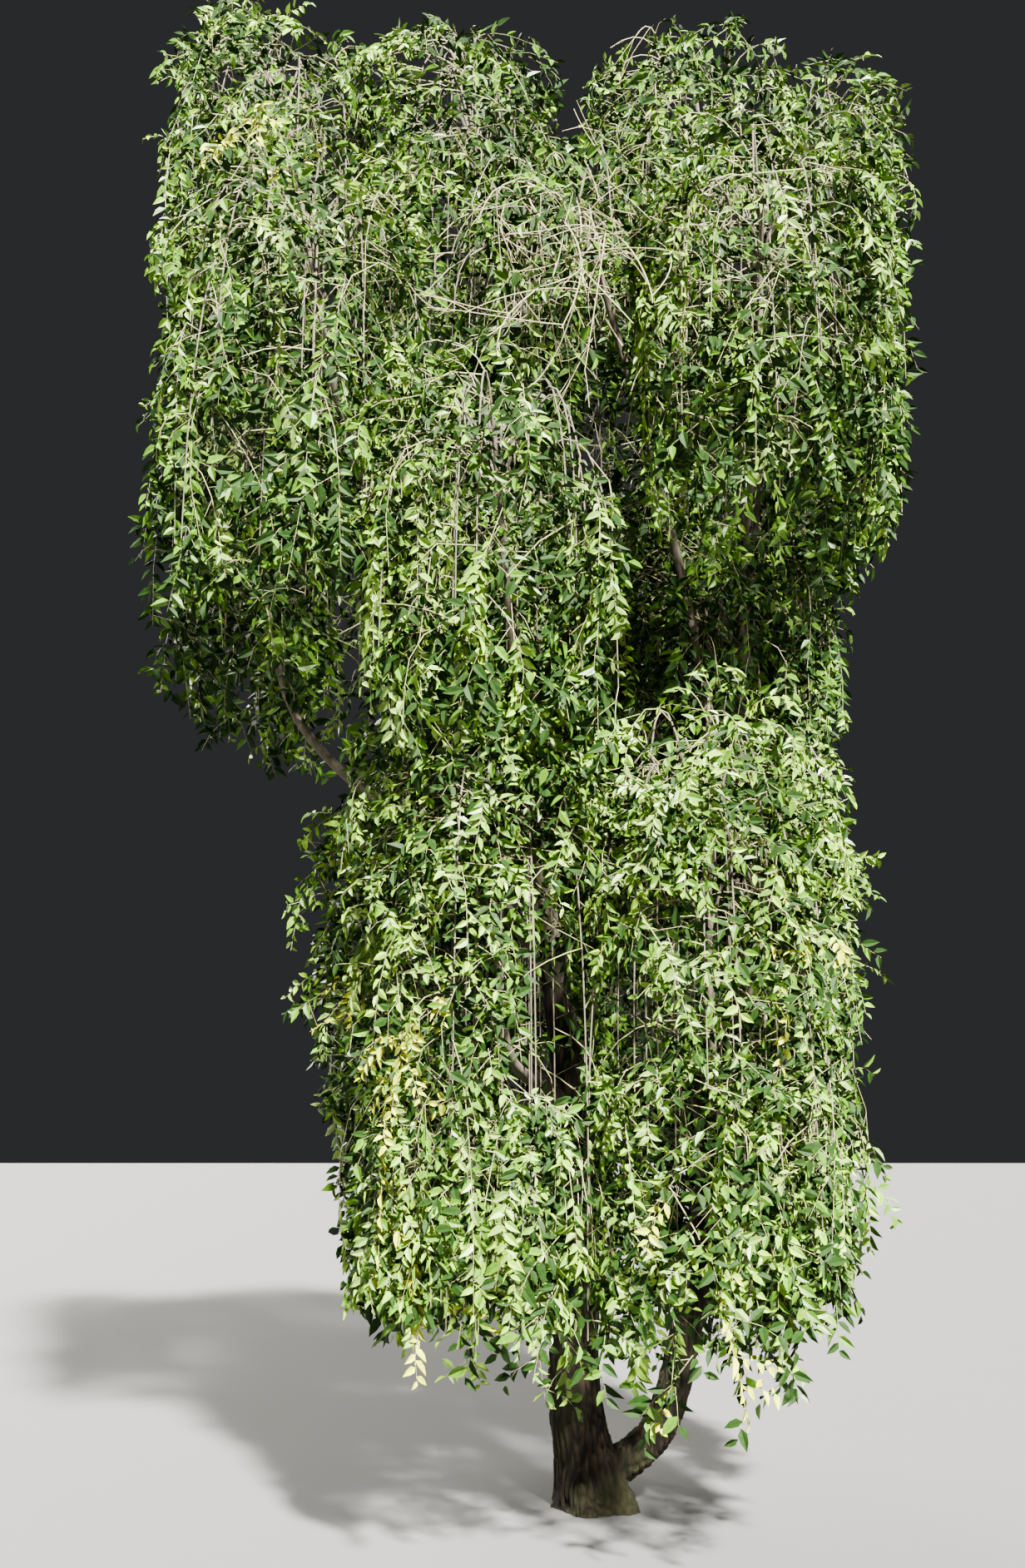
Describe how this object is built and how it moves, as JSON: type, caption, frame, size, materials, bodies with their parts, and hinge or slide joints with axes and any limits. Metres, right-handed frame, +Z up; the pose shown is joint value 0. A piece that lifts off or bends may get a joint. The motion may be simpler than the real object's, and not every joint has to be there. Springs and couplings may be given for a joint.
{
  "type": "weeping siberian elm tree",
  "caption": "Weeping Siberian elm with a leaning second stem, a flared foot and hanging curtains of narrow toothed leaves, rooted in level ground.",
  "frame": {"origin": "middle of the flat cut under the trunk, at ground level", "axes": "+Z up along the trunk, front of the crown towards -Y, the second stem leans towards +X"},
  "size_m": [3.719, 3.2499, 6.9107],
  "materials": {
    "bark": "matte",
    "young_bark": "matte",
    "foliage": "satin",
    "bare_twigs": "matte"
  },
  "bodies": {
    "root": {"trunk": "bark", "right_stem": "bark", "bough_crown_left": "young_bark", "bough_crown_middle": "young_bark", "bough_crown_right": "young_bark", "bough_crown_back": "young_bark", "bough_side_left": "young_bark", "bough_side_right": "young_bark", "bough_front_left": "young_bark", "bough_front_middle": "young_bark", "bough_front_right": "young_bark", "bough_back_left": "young_bark", "bough_back_right": "young_bark", "bough_skirt_left": "young_bark", "bough_skirt_front_left": "young_bark", "bough_skirt_front_right": "young_bark", "bough_skirt_right": "young_bark", "bough_skirt_back_right": "young_bark", "bough_skirt_back_left": "young_bark", "bough_bare_twigs": "young_bark", "crown_left": "foliage", "crown_middle": "foliage", "crown_right": "foliage", "crown_back": "foliage", "side_left": "foliage", "side_right": "foliage", "front_left": "foliage", "front_middle": "foliage", "front_right": "foliage", "back_left": "foliage", "back_right": "foliage", "skirt_left": "foliage", "skirt_front_left": "foliage", "skirt_front_right": "foliage", "skirt_right": "foliage", "skirt_back_right": "foliage", "skirt_back_left": "foliage", "bare_twigs": "bare_twigs"}
  },
  "joints": []
}
